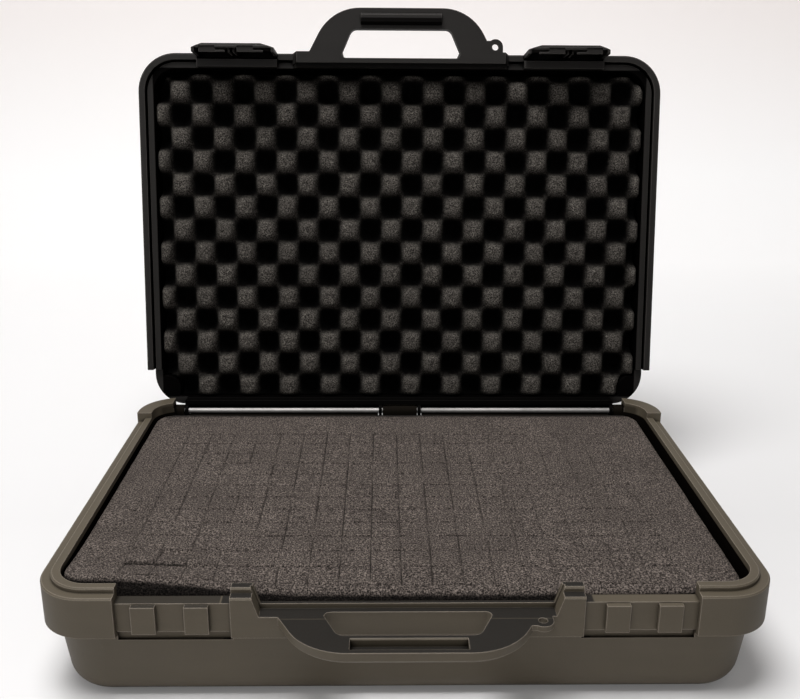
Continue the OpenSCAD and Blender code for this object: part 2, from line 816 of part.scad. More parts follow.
module foam_lid() {
    back_z = part_z + lid_h - floor_t - foam_gap;
    color(foam_grey) opened()
        hump_field(case_w - 2 * rim_w - 4 * foam_gap, case_d - 2 * rim_w - 4 * foam_gap,
            back_z, back_z - lid_foam_t + hump_h / 2);
}

base_shell();
lid_shell();
hinge_rod();
latch_left();
latch_right();
latch_pin_left();
latch_pin_right();
foam_lid();
foam_pluck_block();
foam_base_pad();
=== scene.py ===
import json
import math

import bmesh
import bpy
from mathutils import Matrix, Vector, noise


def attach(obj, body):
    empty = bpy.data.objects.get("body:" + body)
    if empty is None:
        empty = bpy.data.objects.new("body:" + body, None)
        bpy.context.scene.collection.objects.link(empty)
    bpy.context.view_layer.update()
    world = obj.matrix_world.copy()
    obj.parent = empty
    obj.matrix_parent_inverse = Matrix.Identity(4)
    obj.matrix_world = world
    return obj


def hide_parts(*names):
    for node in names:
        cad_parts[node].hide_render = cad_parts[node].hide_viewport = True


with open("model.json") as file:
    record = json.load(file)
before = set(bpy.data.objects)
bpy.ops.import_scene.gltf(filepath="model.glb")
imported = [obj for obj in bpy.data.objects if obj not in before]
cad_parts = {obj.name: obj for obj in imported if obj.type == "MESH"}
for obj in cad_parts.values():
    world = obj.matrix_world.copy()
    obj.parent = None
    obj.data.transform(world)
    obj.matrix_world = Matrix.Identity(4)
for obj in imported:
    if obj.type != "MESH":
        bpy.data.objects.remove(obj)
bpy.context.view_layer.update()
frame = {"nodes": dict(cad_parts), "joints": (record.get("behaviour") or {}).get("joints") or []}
nodes = frame["nodes"]
mm = 0.001

caseSizes = {
    "width": 500 * mm, "depth": 346 * mm, "baseHeight": 85 * mm, "lidHeight": 50 * mm,
    "rim": 13.5 * mm, "floor": 5 * mm, "foamGap": 0.4 * mm,
}
cavityHalfWide = caseSizes["width"] / 2 - caseSizes["rim"]
cavityHalfDeep = caseSizes["depth"] / 2 - caseSizes["rim"]

# what is modelled on the lid is made shut and then swung open about the hinge
hinge = Vector(next(j for j in frame["joints"] if j["name"] == "lid_hinge")["pos_m"])
lidOpen = 100
swingOpen = (Matrix.Translation(hinge) @ Matrix.Rotation(math.radians(-lidOpen), 4, "X")
             @ Matrix.Translation(-hinge))


class Wire:
    # a node's output, whose arithmetic adds Math nodes
    def __init__(self, finish, socket):
        self.finish, self.socket = finish, socket

    def math(self, operation, first, second):
        return self.finish.node("ShaderNodeMath", {"operation": operation}, {0: first, 1: second})

    def __add__(self, other):
        return self.math("ADD", self, other)

    def __sub__(self, other):
        return self.math("SUBTRACT", self, other)

    def __rsub__(self, other):
        return self.math("SUBTRACT", other, self)

    def __mul__(self, other):
        return self.math("MULTIPLY", self, other)

    def __pow__(self, other):
        return self.math("POWER", self, other)

    def __rpow__(self, other):
        return self.math("POWER", other, self)

    __radd__ = __add__
    __rmul__ = __mul__

    def larger(self, other):
        return self.math("MAXIMUM", self, other)


class Finish:
    # one material and its nodes
    def __init__(self, name):
        self.material = bpy.data.materials.new(name)
        self.material.use_nodes = True
        self.tree = self.material.node_tree
        self.tree.nodes.clear()
        self.place = self.node("ShaderNodeTexCoord", out="Object")

    def node(self, kind, settings=None, sockets=None, out=0):
        made = self.tree.nodes.new(kind)
        for key, value in (settings or {}).items():
            setattr(made, key, value)
        for key, value in (sockets or {}).items():
            if isinstance(value, Wire):
                self.tree.links.new(value.socket, made.inputs[key])
            else:
                made.inputs[key].default_value = value
        return Wire(self, made.outputs[out]) if len(made.outputs) else None

    def noise(self, scale, detail, roughness, stretch=None):
        place = self.place
        if stretch:
            place = self.node("ShaderNodeMapping", {}, {"Vector": place, "Scale": stretch})
        return self.node("ShaderNodeTexNoise", {}, {
            "Vector": place, "Scale": scale, "Detail": detail, "Roughness": roughness})

    def remap(self, value, low, high, newLow=0.0, newHigh=1.0):
        return self.node("ShaderNodeMapRange", {}, {
            "Value": value, "From Min": low, "From Max": high, "To Min": newLow, "To Max": newHigh})

    def blend(self, factor, first, second):
        return self.node("ShaderNodeMix", {"data_type": "RGBA"}, {0: factor, 6: first, 7: second}, out=2)

    def bump(self, height, strength, distance, normal=None):
        sockets = {"Height": height, "Strength": strength, "Distance": distance}
        if normal:
            sockets["Normal"] = normal
        return self.node("ShaderNodeBump", {}, sockets)

    def axis(self, vector, letter):
        return self.node("ShaderNodeSeparateXYZ", {}, {0: vector}, out=letter)

    def close(self, sockets, shade=None, shadeColour=None):
        # where shade is painted, the surface gives way to a dull dark one without gloss
        surface = self.node("ShaderNodeBsdfPrincipled", {}, sockets)
        if shade:
            dull = self.node("ShaderNodeBsdfDiffuse", {}, {"Color": shadeColour})
            surface = self.node("ShaderNodeMixShader", {}, {0: shade, 1: surface, 2: dull})
        return self.show(surface)

    def show(self, surface):
        self.node("ShaderNodeOutputMaterial", {}, {"Surface": surface})
        return self.material


def opaque(colour, strength=1.0):
    return (*[part * strength for part in colour], 1.0)


# noises are given by scale, detail, roughness and stretch, and Shown is the range in which one shows
moulding = {
    "cloud": (9.0, 4.0, 0.6), "streak": (30.0, 4.0, 0.6, (0.35, 1.0, 3.0)),
    "grain": (1500.0, 2.0, 0.5), "pebble": (520.0, 2.0, 0.5),
    "dust": (240.0, 5.0, 0.75), "dustShown": (0.66, 0.74),
    "scuff": (60.0, 6.0, 0.8, (1.0, 1.0, 3.0)), "scuffShown": (0.68, 0.78),
    "edgeRadius": 1.0 * mm, "edgeShown": (0.988, 0.90), "edgeOpen": (0.6, 0.85),
    "broadReach": 22 * mm, "narrowReach": 5 * mm, "narrow": (0.22, 0.75), "level": (0.80, 0.97),
    "bumpStrength": 0.5, "bumpDistance": 0.14 * mm, "ior": 1.49,
}

# the limits and soft edges of the zones of painted shade and painted reflection are in millimetres
plastics = {
    "base": {
        # the pale edge colour is partly wear and partly painted highlight; the near-black one is painted
        # shade and painted reflection
        "colour": (0.064, 0.052, 0.035), "pale": (0.094, 0.077, 0.054),
        "edge": (0.26, 0.22, 0.18), "deep": (0.0035, 0.0028, 0.0022),
        "roughness": (0.52, 0.70), "gloss": 0.30, "wearAndHighlight": 0.9, "broad": (0.0, 0.42),
        # painted shade on the inner walls, rear wall's top and hinge seat, rear corners
        "paintedShade": (
            {"x": (-237.4, 237.4), "y": (-160.4, 160.4), "z": (56, 84.9), "soft": 0.9, "share": 1.0},
            {"x": (-226, 226), "y": (158.0, 172.6), "z": (60, 90), "soft": 1.0, "share": 0.97},
            {"x": (-233, 233), "y": (146.0, 171.0), "z": (60, 93), "soft": 3.0, "share": 0.55},
        ),
        # painted reflection of the dark lid on the level faces of the half grip, the dip and the left bay
        "paintedReflection": (
            {"x": (-112, 112), "y": (-213, -174.5), "soft": 1.5, "share": 0.92},
            {"x": (-124, 124), "y": (-175.5, -158), "soft": 1.0, "share": 0.92},
            {"x": (-203, -124), "y": (-175.5, -158), "z": (60, 84.2), "soft": 0.8, "share": 0.75},
        ),
    },
    "lid": {
        # the pale edge colour is partly wear and partly painted highlight; the near-black one is painted
        # shade
        "colour": (0.0085, 0.0075, 0.0068), "pale": (0.017, 0.0152, 0.0138),
        "edge": (0.085, 0.078, 0.072), "deep": (0.0005, 0.0004, 0.0004),
        "roughness": (0.49, 0.67), "gloss": 0.14, "wearAndHighlight": 0.8, "broad": (0.15, 0.66),
        # painted shade on the inner walls, rear rim, tongue over the dip, lower side of the key
        "paintedShade": (
            {"x": (-237.4, 237.4), "y": (-160.4, 160.4), "z": (85.2, 106), "soft": 0.9, "share": 0.95},
            {"x": (-224, 224), "y": (158.0, 173.5), "z": (70, 91), "soft": 1.0, "share": 0.9},
            {"x": (-112, 112), "y": (-174, -158.5), "z": (73.5, 78), "soft": 0.8, "share": 0.75},
            {"x": (-38.2, 38.2), "y": (-203.2, -196.6), "z": (60, 73), "soft": 0.6, "share": 0.85},
        ),
    },
}


def zoneShare(finish, place, zone):
    # the zone's share inside its limits, and 0 outside
    share = zone["share"]
    for letter in "xyz":
        if letter in zone:
            low, high = (limit * mm for limit in zone[letter])
            along = finish.axis(place, letter.upper())
            soft = zone["soft"] * mm
            share = finish.remap(along, low, low + soft) * finish.remap(along, high, high - soft) * share
    return share


def mouldedPlastic(name, look, closed=None):
    # closed puts the lid's points where they are when it's shut
    finish = Finish(name)
    cloud, streak, grain, pebble, dust, scuff = (
        finish.noise(*moulding[key]) for key in ("cloud", "streak", "grain", "pebble", "dust", "scuff"))
    dust = finish.remap(dust, *moulding["dustShown"])
    scuff = finish.remap(scuff, *moulding["scuffShown"])
    pale = opaque(look["pale"])
    uneven = finish.remap(cloud + streak * 0.5, 0.5, 1.0, 0.0, 0.5)
    colour = finish.blend(uneven, opaque(look["colour"]), pale)
    colour = finish.blend(finish.remap(grain, 0.3, 0.75, 0.0, 0.35), colour, pale)
    colour = finish.blend(dust * 0.2 + scuff * 0.2, colour, opaque(look["pale"], 2.0))
    rough = finish.remap(cloud + grain * 0.5, 0.5, 1.1, *look["roughness"])
    # edges are paler, partly from wear and partly as a painted highlight, and crevices get painted shade
    edge = finish.node("ShaderNodeBevel", {"samples": 6}, {"Radius": moulding["edgeRadius"]})
    flat = finish.node("ShaderNodeNewGeometry", out="Normal")
    turned = finish.node("ShaderNodeVectorMath", {"operation": "DOT_PRODUCT"}, {0: edge, 1: flat},
                         out="Value")
    # ambient occlusion over a broad and a narrow reach, for painted shade in crevices; the narrow one also
    # keeps pale edges off concave corners
    broad, narrow = (finish.node("ShaderNodeAmbientOcclusion", {"samples": 8}, {"Distance": reach}, out="AO")
                     for reach in (moulding["broadReach"], moulding["narrowReach"]))
    # pale convex edges: partly wear, partly painted highlight, kept off concave corners
    edgeWearAndHighlight = finish.remap(turned, *moulding["edgeShown"]) * finish.remap(narrow, *moulding["edgeOpen"])
    edgeWearAndHighlight = edgeWearAndHighlight * finish.remap(cloud, 0.3, 0.6, 0.6, 1.0)
    # painted reflection: upward faces in these zones are darkened as if mirroring the dark lid
    if "paintedReflection" in look:
        level = finish.remap(finish.axis(edge, "Z"), *moulding["level"])
        for zone in look["paintedReflection"]:
            paintedReflection = zoneShare(finish, finish.place, zone) * level
            colour = finish.blend(paintedReflection, colour, opaque(look["deep"]))
    colour = finish.blend(edgeWearAndHighlight * look["wearAndHighlight"], colour, opaque(look["edge"]))
    # painted shade in crevices, from ambient occlusion
    shade = 1.0 - finish.remap(broad, *look["broad"]) * finish.remap(narrow, *moulding["narrow"])
    place = finish.place
    if closed:
        place = finish.node("ShaderNodeMapping", {}, {
            "Vector": place, "Location": closed.to_translation(), "Rotation": closed.to_euler()})
    # zones of painted shade, placed where the parts lie when shut
    for zone in look["paintedShade"]:
        shade = shade.larger(zoneShare(finish, place, zone))
    bumps = finish.bump(pebble * 0.7 + grain * 0.5, moulding["bumpStrength"], moulding["bumpDistance"], edge)
    return finish.close({"Base Color": colour, "Roughness": rough, "Normal": bumps, "IOR": moulding["ior"],
                         "Specular IOR Level": look["gloss"]}, shade, opaque(look["deep"]))


steel = {
    "clean": (0.36, 0.345, 0.335), "stained": (0.27, 0.26, 0.25), "metallic": 0.9, "roughness": (0.52, 0.68),
    "lines": (260.0, 3.0, 0.6, (0.03, 1.0, 1.0)), "stain": (26.0, 4.0, 0.7), "stainShown": (0.4, 0.7),
    "bumpStrength": 0.15, "bumpDistance": 0.05 * mm,
}


def drawnSteel(name):
    finish = Finish(name)
    lines = finish.noise(*steel["lines"])
    stain = finish.noise(*steel["stain"])
    colour = finish.blend(finish.remap(stain, *steel["stainShown"]), opaque(steel["clean"]),
                          opaque(steel["stained"]))
    rough = finish.remap(lines + stain, 0.7, 1.3, *steel["roughness"])
    bumps = finish.bump(lines, steel["bumpStrength"], steel["bumpDistance"])
    return finish.close({"Base Color": colour, "Metallic": steel["metallic"], "Roughness": rough,
                         "Normal": bumps})


foams = {
    "block": {"dark": (0.009, 0.0070, 0.0060), "light": (0.200, 0.166, 0.146), "gloss": 0.10},
    "lid": {"dark": (0.009, 0.0078, 0.0070), "light": (0.128, 0.116, 0.102), "gloss": 0.04},
}
foamCells = {
    "scale": 900.0, "speckleShown": (0.54, 0.92), "contrast": 1.5, "sparkShown": (0.62, 0.78),
    "sparkColour": 1.7, "patch": (22.0, 3.0, 0.5), "patchShown": (0.35, 0.7), "patchStrength": 0.22,
    "unlitColour": 0.06, "bumpStrength": 0.8, "bumpDistance": 0.6 * mm, "roughness": (0.9, 1.0),
}


def openCellFoam(name, look):
    # painted light: the mesh attribute lit is 1 on open faces and near 0 in hollows and slits and on hidden
    # sides, where the colour takes painted shade
    finish = Finish(name)
    scale = foamCells["scale"]
    lit = finish.node("ShaderNodeAttribute", {"attribute_name": "lit"}, out="Fac")
    cells = finish.node("ShaderNodeTexVoronoi", {"feature": "F1"}, {
        "Vector": finish.place, "Scale": scale, "Randomness": 1.0})
    fine = finish.noise(scale * 0.9, 3.0, 0.7)
    spark = finish.remap(finish.noise(scale * 1.3, 1.0, 0.4), *foamCells["sparkShown"])
    patch = finish.remap(finish.noise(*foamCells["patch"]), *foamCells["patchShown"],
                         0.0, foamCells["patchStrength"])
    speckle = finish.remap(fine + cells * 0.4, *foamCells["speckleShown"])
    dark = opaque(look["dark"])
    colour = finish.blend(speckle ** foamCells["contrast"], dark, opaque(look["light"]))
    colour = finish.blend(spark * 0.5, colour, opaque(look["light"], foamCells["sparkColour"]))
    colour = finish.blend(patch, colour, dark)
    # painted shade where lit is low
    colour = finish.blend(lit, opaque(look["dark"], foamCells["unlitColour"]), colour)
    bumps = finish.bump(fine * 1.2 - cells * 0.6, foamCells["bumpStrength"], foamCells["bumpDistance"])
    rough = finish.remap(fine, 0.2, 0.8, *foamCells["roughness"])
    return finish.close({"Base Color": colour, "Roughness": rough, "Normal": bumps,
                         "Specular IOR Level": look["gloss"]})


basePlastic = mouldedPlastic("basePlastic", plastics["base"])
lidPlastic = mouldedPlastic("lidPlastic", plastics["lid"], swingOpen.inverted())
rodSteel = drawnSteel("rodSteel")
blockFoam = openCellFoam("blockFoam", foams["block"])
lidFoam = openCellFoam("lidFoam", foams["lid"])
print("materials made")


def dress(name, material):
    mesh = nodes[name].data
    mesh.materials.clear()
    mesh.materials.append(material)


dress("base_shell", basePlastic)
for lidPart in ("lid_shell", "latch_left", "latch_right"):
    dress(lidPart, lidPlastic)
for steelPart in ("hinge_rod", "latch_pin_left", "latch_pin_right"):
    dress(steelPart, rodSteel)
print("frame dressed")


def newObject(name, material, bm):
    mesh = bpy.data.meshes.new(name)
    bm.normal_update()
    bm.to_mesh(mesh)
    bm.free()
    mesh.shade_smooth()
    mesh.materials.append(material)
    made = bpy.data.objects.new(name, mesh)
    bpy.context.scene.collection.objects.link(made)
    return made


def newPiece(name, body, material, bm):
    piece = newObject(name, material, bm)
    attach(piece, body)
    return piece


def extrudeRim(bm, edges):
    # the new edges and vertices of an extruded rim
    made = bmesh.ops.extrude_edge_only(bm, edges=edges)["geom"]
    return ([g for g in made if isinstance(g, bmesh.types.BMEdge)],
            [g for g in made if isinstance(g, bmesh.types.BMVert)])


def openEdges(bm):
    return [e for e in bm.edges if e.is_boundary]


def smoothStep(low, high, value):
    share = min(max((value - low) / (high - low), 0.0), 1.0)
    return share * share * (3 - 2 * share)


def insideCorner(overX, overY, radius):
    # distance inside a rounded outline, from how far a point is past the centre of its corner
    return radius - math.hypot(max(overX, 0), max(overY, 0)) - min(max(overX, overY), 0)


# the lid's egg-crate foam is made shut, facing down, in a chequer of humps and wells
eggCrate = {
    "cellWide": 20.38 * mm, "cellDeep": 22.2 * mm, "peakX": -212.6 * mm, "peakY": -139.1 * mm,
    "peak": 5.6 * mm, "height": 20 * mm, "samples": 12, "cornerRadius": 20 * mm,
    "sideGap": 1.0 * mm, "frontGap": 4.5 * mm, "rearGap": 0.5 * mm,
    "bossRadius": 13.5 * mm, "bossX": 233 * mm, "bossY": 152 * mm, "bossGap": 0.6 * mm,
    # the range of the wave in which a hump rises, and in which its side takes painted light, the wells below
    # it getting painted shade
    "rise": (-0.8, 0.7), "litEdge": (-0.16, 0.42),
    # share of a hump's height and of its painted light that is left at the outline
    "edgeRound": 3.0 * mm, "edgeHeight": 0.85, "edgeLight": 0.25,
    # unevenness, each with its noise's scale and seed
    "jitter": 1.1 * mm, "jitterNoise": (40, 11), "ragged": 0.12, "raggedNoise": (260, 1.0),
}


def crateInside(x, y):
    # distance inside the foam's outline, less than 0 outside it
    halfWide, radius = cavityHalfWide - eggCrate["sideGap"], eggCrate["cornerRadius"]
    rear, front = cavityHalfDeep - eggCrate["rearGap"], cavityHalfDeep - eggCrate["frontGap"]
    overX, overY = abs(x) - halfWide + radius, max(y - rear, -y - front) + radius
    boss = math.hypot(max(eggCrate["bossX"] - abs(x), 0), max(eggCrate["bossY"] - y, 0))
    return min(insideCorner(overX, overY, radius), boss - eggCrate["bossRadius"] - eggCrate["bossGap"])


def crateWave(x, y):
    # 1 at a hump's top, 0 at the necks and -1 at a well's floor
    across = (x - eggCrate["peakX"]) / eggCrate["cellWide"]
    along = (y - eggCrate["peakY"]) / eggCrate["cellDeep"]
    return math.cos(math.pi * across) * math.cos(math.pi * along)


def crateNoise(vert, scale, seed):
    return noise.noise(Vector((vert.co.x * scale, vert.co.y * scale, seed)))


def drawToOutline(vert):
    # moves a vertex that lies outside the outline onto it
    inside = crateInside(vert.co.x, vert.co.y)
    if inside < 0:
        nudge = 1e-5
        slopeX = crateInside(vert.co.x + nudge, vert.co.y) - inside
        slopeY = crateInside(vert.co.x, vert.co.y + nudge) - inside
        length = math.hypot(slopeX, slopeY) or 1
        vert.co.x -= inside * slopeX / length
        vert.co.y -= inside * slopeY / length


def makeEggCrate():
    step = eggCrate["cellWide"] / eggCrate["samples"]
    bm = bmesh.new()
    bmesh.ops.create_grid(bm, x_segments=round(2 * cavityHalfWide / step),
                          y_segments=round(2 * cavityHalfDeep / step), size=1)
    bmesh.ops.scale(bm, vec=(cavityHalfWide, cavityHalfDeep, 1), verts=bm.verts)
    outside = [v for v in bm.verts if crateInside(v.co.x, v.co.y) < -0.55 * step]
    bmesh.ops.delete(bm, geom=outside, context="VERTS")
    for vert in bm.verts:
        drawToOutline(vert)
    lit = bm.verts.layers.float.new("lit")
    low = caseSizes["baseHeight"] + eggCrate["peak"]
    edgeHeight, edgeLight = eggCrate["edgeHeight"], eggCrate["edgeLight"]
    for vert in bm.verts:
        drift = crateNoise(vert, *eggCrate["jitterNoise"]) * eggCrate["jitter"]
        wave = crateWave(vert.co.x + drift, vert.co.y - drift)
        rise = smoothStep(*eggCrate["rise"], wave)
        inner = smoothStep(0.0, eggCrate["edgeRound"], crateInside(vert.co.x, vert.co.y))
        down = 1 - rise * (edgeHeight + (1 - edgeHeight) * inner)
        vert.co.z = low + down * eggCrate["height"] + abs(drift) * 0.5
        ragged = crateNoise(vert, *eggCrate["raggedNoise"]) * eggCrate["ragged"]
        # painted light on the humps, painted shade in the wells and necks and at the outline
        vert[lit] = smoothStep(*eggCrate["litEdge"], wave + ragged) * (edgeLight + (1 - edgeLight) * inner)
    back = caseSizes["baseHeight"] + caseSizes["lidHeight"] - caseSizes["floor"] - caseSizes["foamGap"]
    # the sides reach back to the lid's floor, in painted shade
    for vert in extrudeRim(bm, openEdges(bm))[1]:
        vert.co.z = back
        vert[lit] = 0.0
    bmesh.ops.contextual_create(bm, geom=openEdges(bm))
    bmesh.ops.recalc_face_normals(bm, faces=bm.faces)
    bmesh.ops.transform(bm, matrix=swingOpen, verts=bm.verts)
    return newPiece("eggCrateFoam", "lid", lidFoam, bm)


crate = makeEggCrate()
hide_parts("foam_lid")
print("egg-crate foam made")


# the base's block of pluck-out cubes: one cut sheet of foam, loosened and lifted at its front left
pluckBlock = {
    "leftGap": 1.6 * mm, "rightGap": 6.0 * mm, "endGap": 2.0 * mm, "drop": 2.5 * mm, "low": 16.2 * mm,
    "radius": 18 * mm, "lowRadius": 38 * mm, "taperTop": 58 * mm, "taper": 5 * mm, "taperLit": 0.12,
    "firstX": -194.2 * mm, "firstY": -149.7 * mm, "cube": 21.38 * mm, "cubesX": 18, "cubesY": 12,
    # the top edge's rounding, the lines on it as shares of it, and the grid's even step
    "edge": 4.0 * mm, "edgeLines": (0.1, 0.3, 0.6, 1.0), "gridStep": 5.5 * mm,
    # half widths of the slits that run back and across, their lips, and how far they run past the cubes
    "slit": 0.6 * mm, "crossSlit": 1.2 * mm, "slitDeep": 2.4 * mm, "lip": 2.2 * mm, "slitPast": 1 * mm,
    # noise that opens the slits in places, and the painted shade in an open slit
    "slitNoise": 38, "slitSeed": 5.0, "slitShown": (-0.6, 0.3), "slitShade": 0.85,
    # the slits are more closed to the right, in this range and by this share
    "closedFrom": (20 * mm, 110 * mm), "closed": 0.55,
    # lift of the front edge in millimetres: place across the case and height
    "lift": ((-235, 7.4), (-190, 7.2), (-171, 6.0), (-138, 3.0), (-120, 1.0), (-100, 0.0), (235, 0.0)),
    "liftReach": 46 * mm, "pulledIn": 4 * mm, "pulledReach": 25 * mm,
    # cubes that are sunk at their rear edge, by column and row, in millimetres
    "sunk": {(1, 1): 3.0, (0, 0): 2.6, (1, 0): 2.6, (2, 0): 2.2, (-1, 4): 1.6},
    # sag of the front edge where it isn't lifted, and its smaller share at the right
    "sag": 2.5 * mm, "sagReach": 12 * mm, "sagFrom": (-115 * mm, -60 * mm),
    "sagLess": 0.6, "sagLessFrom": (150 * mm, 200 * mm),
    # unevenness of the top and the outline, with its noise's scale and its reach inward
    "uneven": 0.5 * mm, "unevenNoise": 14, "wavy": 1.2 * mm, "wavyNoise": 9, "wavyReach": 20 * mm,
    "ripple": 0.7 * mm, "rippleNoise": 24, "rippleReach": 10 * mm,
    # painted shade on the rounded edge and along the rear wall
    "edgeDark": 0.8, "edgeDarkFrom": (0.4, 0.95), "rearShadeTo": (4 * mm, 9 * mm), "leastLit": 0.05,
}
blockHalfWide = cavityHalfWide - (pluckBlock["leftGap"] + pluckBlock["rightGap"]) / 2
blockHalfDeep = cavityHalfDeep - pluckBlock["endGap"]
blockMiddle = (pluckBlock["leftGap"] - pluckBlock["rightGap"]) / 2


def between(points, place):
    for (x0, z0), (x1, z1) in zip(points, points[1:]):
        if place <= x1:
            return z0 + (z1 - z0) * max(place - x0, 0) / (x1 - x0)
    return points[-1][1]


def gridLines(half, first, cubes, slit):
    # even lines, a tight group of five at each cut, and close lines along both edges
    cuts = [first + pluckBlock["cube"] * k for k in range(cubes + 1)]
    edge, lip = pluckBlock["edge"], pluckBlock["lip"]
    lines = [-half, half]
    for share in pluckBlock["edgeLines"]:
        lines += [-(half - edge * share), half - edge * share]
    for cut in cuts:
        lines += [cut + off for off in (-lip, -slit, 0.0, slit, lip)]
    cells = [-half + edge] + cuts + [half - edge]
    for low, high in zip(cells, cells[1:]):
        pieces = max(2, round((high - low) / pluckBlock["gridStep"]))
        lines += [low + (high - low) * k / pieces for k in range(1, pieces)]
    return sorted(lines), cuts


def cutDepth(x, y, cutsX, cutsY):
    # depth of the slit at a grid point, broken up by noise as closed foam is
    depth, scale, past = 0.0, pluckBlock["slitNoise"], pluckBlock["slitPast"]
    for place, other, cuts, others, turn in ((x, y, cutsX, cutsY, 0.0), (y, x, cutsY, cutsX, 7.0)):
        near = min(cuts, key=lambda cut: abs(cut - place))
        inside = others[0] - past < other < others[-1] + past
        if abs(near - place) < 0.1 * pluckBlock["slit"] and inside:
            spot = Vector((x * scale, y * scale, pluckBlock["slitSeed"] + turn + near * 50))
            shown = smoothStep(*pluckBlock["slitShown"], noise.noise(spot) + 0.25 * noise.noise(spot * 4))
            shown *= 1 - pluckBlock["closed"] * smoothStep(*pluckBlock["closedFrom"], x)
            depth = max(depth, pluckBlock["slitDeep"] * shown)
    return depth


def roundCorner(x, y):
    # draws a point of the square grid's corner in to the round one, and gives its distance inside
    radius = pluckBlock["radius"]
    overX, overY = abs(x) - blockHalfWide + radius, abs(y) - blockHalfDeep + radius
    if overX > 0 and overY > 0:
        share = max(overX, overY) / math.hypot(overX, overY)
        overX, overY = overX * share, overY * share
        x = math.copysign(blockHalfWide - radius + overX, x)
        y = math.copysign(blockHalfDeep - radius + overY, y)
    return x, y, insideCorner(overX, overY, radius)


def sunkBy(x, y, cutsX, cutsY):
    across, along = (x - cutsX[0]) / pluckBlock["cube"], (y - cutsY[0]) / pluckBlock["cube"]
    column, row = math.floor(across + 0.001), math.floor(along + 0.001)
    return pluckBlock["sunk"].get((column, row), 0.0) * mm * smoothStep(0.1, 0.9, along - row)


def sagBy(x, fromFront):
    sag = pluckBlock["sag"] * math.exp(-fromFront / pluckBlock["sagReach"])
    sag *= smoothStep(*pluckBlock["sagFrom"], x)
    return sag * (1 - smoothStep(*pluckBlock["sagLessFrom"], x) * pluckBlock["sagLess"])


def shapeTop(vert, lit, x, y, cutsX, cutsY):
    # puts the vertex of the grid point x, y in its place on the block's top
    depth = cutDepth(x, y, cutsX, cutsY)
    x, y, inside = roundCorner(x, y)
    inward, fromFront = max(inside, 0), y + blockHalfDeep
    lift = between(pluckBlock["lift"], x / mm) * mm
    high = caseSizes["baseHeight"] - pluckBlock["drop"]
    high += lift * math.exp(-fromFront / pluckBlock["liftReach"])
    scale = pluckBlock["unevenNoise"]
    high += noise.noise(Vector((x * scale, y * scale, 3.0))) * pluckBlock["uneven"]
    edge = pluckBlock["edge"]
    drop = edge - math.sqrt(max(edge ** 2 - max(edge - inward, 0) ** 2, 0))
    highest = pluckBlock["lift"][0][1] * mm
    pulled = pluckBlock["pulledIn"] * lift / highest * math.exp(-fromFront / pluckBlock["pulledReach"])
    scale = pluckBlock["wavyNoise"]
    wavy = pluckBlock["wavy"] * noise.noise(Vector((x * scale, y * scale, 8.0)))
    wavy *= math.exp(-inward / pluckBlock["wavyReach"])
    ripple = pluckBlock["ripple"] * noise.noise(Vector((y * pluckBlock["rippleNoise"], 4.0, x)))
    ripple *= math.exp(-inward / pluckBlock["rippleReach"])
    vert.co.x = x + blockMiddle - math.copysign(abs(ripple), x)
    vert.co.y = y + pulled + abs(wavy) * (1 if y < 0 else -1)
    vert.co.z = high - sunkBy(x, y, cutsX, cutsY) - min(drop, edge) - sagBy(x, fromFront) - depth
    # painted shade on the rounded edge, along the rear wall and in the slits
    dark = max(pluckBlock["edgeDark"] * smoothStep(*pluckBlock["edgeDarkFrom"], drop / edge),
               1 - smoothStep(*pluckBlock["rearShadeTo"], blockHalfDeep - y))
    slitLit = 1.0 - pluckBlock["slitShade"] * depth / pluckBlock["slitDeep"]
    vert[lit] = max(slitLit - dark, pluckBlock["leastLit"])


def drawIn(vert, halfWide, halfDeep, radius, middle):
    # keeps a vertex inside a rounded rectangle
    x, y = vert.co.x - middle, vert.co.y
    x, y = max(min(x, halfWide), -halfWide), max(min(y, halfDeep), -halfDeep)
    overX, overY = abs(x) - halfWide + radius, abs(y) - halfDeep + radius
    reach = math.hypot(overX, overY)
    if overX > 0 and overY > 0 and reach > radius:
        x = math.copysign(halfWide - radius + overX * radius / reach, x)
        y = math.copysign(halfDeep - radius + overY * radius / reach, y)
    vert.co.x, vert.co.y = x + middle, y


def makePluckBlock():
    xs, cutsX = gridLines(blockHalfWide, pluckBlock["firstX"], pluckBlock["cubesX"], pluckBlock["slit"])
    ys, cutsY = gridLines(blockHalfDeep, pluckBlock["firstY"], pluckBlock["cubesY"], pluckBlock["crossSlit"])
    bm = bmesh.new()
    bmesh.ops.create_grid(bm, x_segments=len(xs) - 1, y_segments=len(ys) - 1, size=0.5)
    lit = bm.verts.layers.float.new("lit")
    for vert in bm.verts:
        column = round((vert.co.x + 0.5) * (len(xs) - 1))
        row = round((vert.co.y + 0.5) * (len(ys) - 1))
        shapeTop(vert, lit, xs[column], ys[row], cutsX, cutsY)
    rim = openEdges(bm)
    # the sides go straight down to the taper's top, and then narrow with the base's body, in painted shade
    for level, taper, sideLit in ((pluckBlock["taperTop"], 0.0, pluckBlock["taperLit"]),
                                  (pluckBlock["low"], pluckBlock["taper"], 0.0)):
        rim, verts = extrudeRim(bm, rim)
        for vert in verts:
            vert.co.z = level
            drawIn(vert, blockHalfWide - taper, blockHalfDeep - taper, pluckBlock["lowRadius"], blockMiddle)
            vert[lit] = sideLit
    bmesh.ops.contextual_create(bm, geom=openEdges(bm))
    bmesh.ops.recalc_face_normals(bm, faces=bm.faces)
    return newPiece("pluckFoamBlock", "base", blockFoam, bm)


block = makePluckBlock()
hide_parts("foam_pluck_block")
print("pluck-out foam made")


# the flat pad under the block
floorPad = {"thick": 10 * mm, "gap": 9.5 * mm, "radius": 40 * mm, "round": 2 * mm}


def isUpright(edge):
    return abs(edge.verts[0].co.z - edge.verts[1].co.z) > 1 * mm


